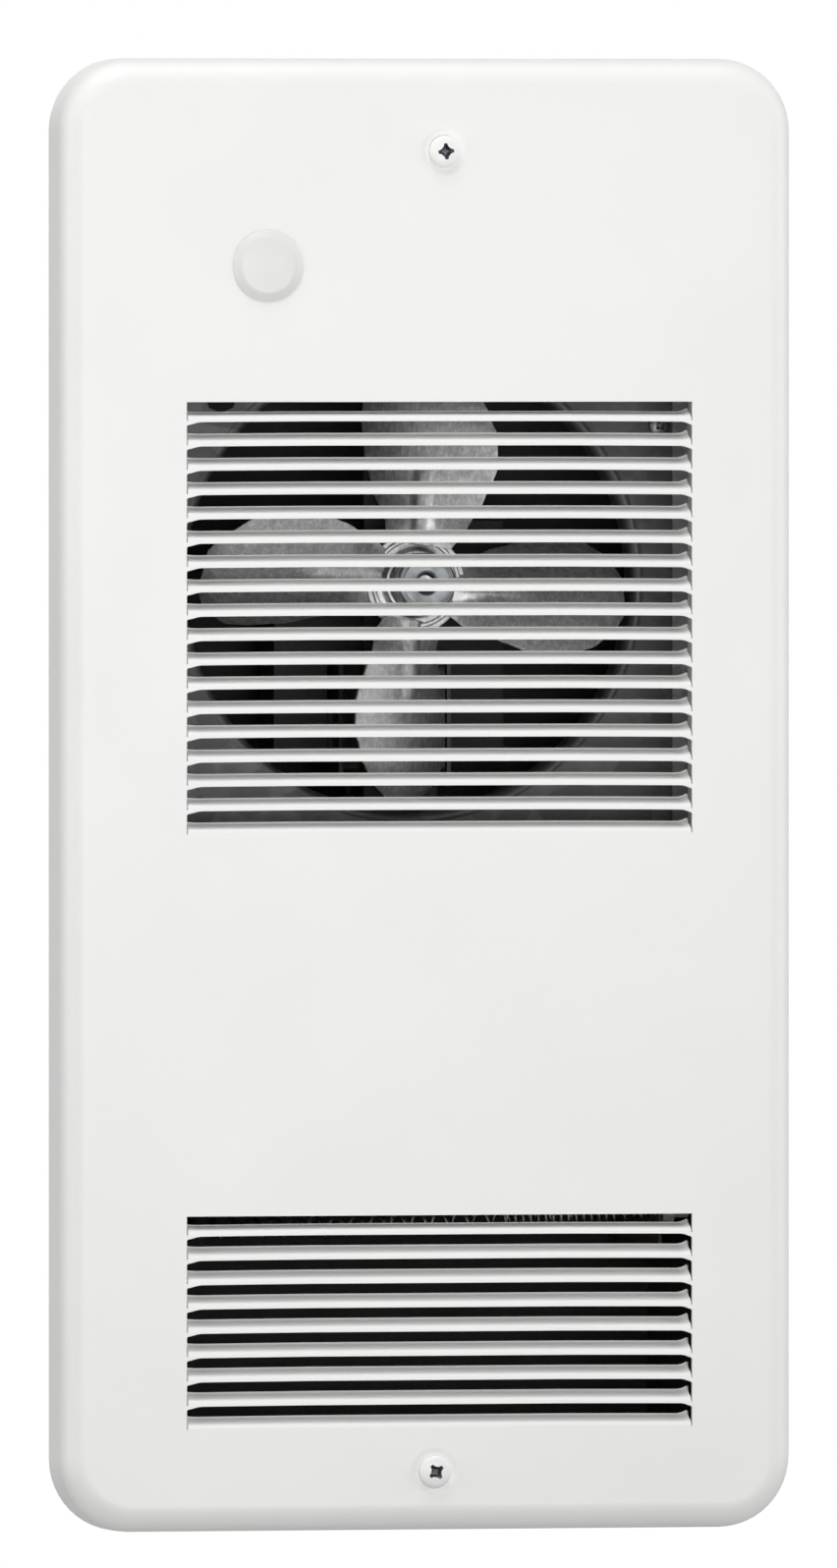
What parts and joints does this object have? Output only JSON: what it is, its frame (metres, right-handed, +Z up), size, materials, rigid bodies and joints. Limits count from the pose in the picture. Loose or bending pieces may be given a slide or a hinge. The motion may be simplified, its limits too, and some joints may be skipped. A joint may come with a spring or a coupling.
{
  "type": "bathroom wall fan heater",
  "caption": "Recessed wall fan heater: louvred steel cover over a wall box with an axial fan, an open-coil element, a motor and controls.",
  "frame": {"origin": "middle of the lower rear rim of the front cover, where the cover rests on the finished wall", "axes": "+Z up along the cover, +Y into the wall, +X to the right seen from the room"},
  "size_m": [0.26, 0.1227, 0.508],
  "materials": {
    "white_powder_coat": "smooth satin powder coat on steel",
    "white_nylon": "moulded nylon, satin",
    "galvanised_steel": "galvanised sheet, faint spangle",
    "zinc_plated_steel": "bright zinc plate",
    "stamped_aluminium": "rolled sheet, stamped, matt grainy",
    "ground_steel": "ground round bar",
    "lamination_steel": "blued laminations",
    "copper_winding": "enamelled copper wire under varnish",
    "sintered_bronze": "sintered, oily, matt",
    "nichrome_wire": "oxidised resistance wire",
    "mica_sheet": "laminated mica board, matt",
    "porcelain": "glazed porcelain bead",
    "phenolic": "moulded phenolic",
    "black_nylon": "moulded nylon",
    "natural_nylon": "moulded natural nylon",
    "red_plastic": "moulded plastic",
    "green_zinc_steel": "green dyed zinc plate",
    "black_rubber": "moulded rubber",
    "black_wire_insulation": "heat-resistant insulation",
    "red_wire_insulation": "heat-resistant insulation",
    "white_wire_insulation": "heat-resistant insulation"
  },
  "bodies": {
    "heater": {"front_cover": "white_powder_coat", "cover_screw_top": "white_powder_coat", "cover_screw_bottom": "white_powder_coat", "wall_box": "galvanised_steel", "knockout_slug": "galvanised_steel", "cable_clamp": "zinc_plated_steel", "cable_clamp_screw": "zinc_plated_steel", "ground_screw": "green_zinc_steel", "fan_deck": "galvanised_steel", "deck_screw_upper_left": "zinc_plated_steel", "deck_screw_upper_right": "zinc_plated_steel", "deck_screw_lower_left": "zinc_plated_steel", "deck_screw_lower_right": "zinc_plated_steel", "lead_grommet": "black_rubber", "supply_grommet": "black_rubber", "motor_core": "lamination_steel", "motor_coil_core": "lamination_steel", "motor_bobbin": "natural_nylon", "motor_winding": "copper_winding", "motor_front_bracket": "zinc_plated_steel", "motor_rear_bracket": "zinc_plated_steel", "front_bearing": "sintered_bronze", "rear_bearing": "sintered_bronze", "motor_strap": "galvanised_steel", "motor_spacer_left": "zinc_plated_steel", "motor_spacer_right": "zinc_plated_steel", "motor_screw_left": "zinc_plated_steel", "motor_screw_right": "zinc_plated_steel", "strap_screw_lower": "zinc_plated_steel", "strap_screw_upper": "zinc_plated_steel", "thermostat_body": "phenolic", "thermostat_bracket": "zinc_plated_steel", "thermostat_nut": "zinc_plated_steel", "thermostat_screw_left": "zinc_plated_steel", "thermostat_screw_right": "zinc_plated_steel", "limit_switch": "phenolic", "limit_screw_left": "zinc_plated_steel", "limit_screw_right": "zinc_plated_steel", "terminal_block": "black_nylon", "heating_coil": "nichrome_wire", "mica_board_left": "mica_sheet", "mica_board_right": "mica_sheet", "element_frame": "galvanised_steel", "element_terminal_front": "porcelain", "element_terminal_rear": "porcelain", "element_screw_left": "zinc_plated_steel", "element_screw_right": "zinc_plated_steel", "lead_supply_to_thermostat": "black_wire_insulation", "lead_thermostat_to_limit": "black_wire_insulation", "lead_limit_to_element": "red_wire_insulation", "lead_supply_to_element": "white_wire_insulation", "lead_motor_to_limit": "red_wire_insulation", "lead_motor_to_supply": "white_wire_insulation"},
    "fan_rotor": {"fan_blades": "stamped_aluminium", "fan_hub": "zinc_plated_steel", "motor_shaft": "ground_steel", "motor_rotor": "lamination_steel"},
    "hole_plug": {"control_hole_plug": "white_nylon"},
    "thermostat_dial": {"thermostat_spindle": "ground_steel"},
    "reset_button": {"limit_button": "red_plastic"}
  },
  "joints": [
    {"name": "fan_spin", "type": "hinge", "parent": "heater", "child": "fan_rotor", "pos_m": [0.0042, 0.016, 0.3218], "axis": [0, 1, 0], "continuous": true},
    {"name": "plug_pull", "type": "slide", "parent": "heater", "child": "hole_plug", "axis": [0, -1, 0], "range_m": [0, 0.012]},
    {"name": "thermostat_turn", "type": "hinge", "parent": "heater", "child": "thermostat_dial", "pos_m": [-0.0575, 0, 0.4315], "axis": [0, 1, 0], "range_deg": [-135, 135]},
    {"name": "reset_press", "type": "slide", "parent": "heater", "child": "reset_button", "axis": [0, 1, 0], "range_m": [0, 0.002], "stiffness_N_per_m": 300}
  ]
}
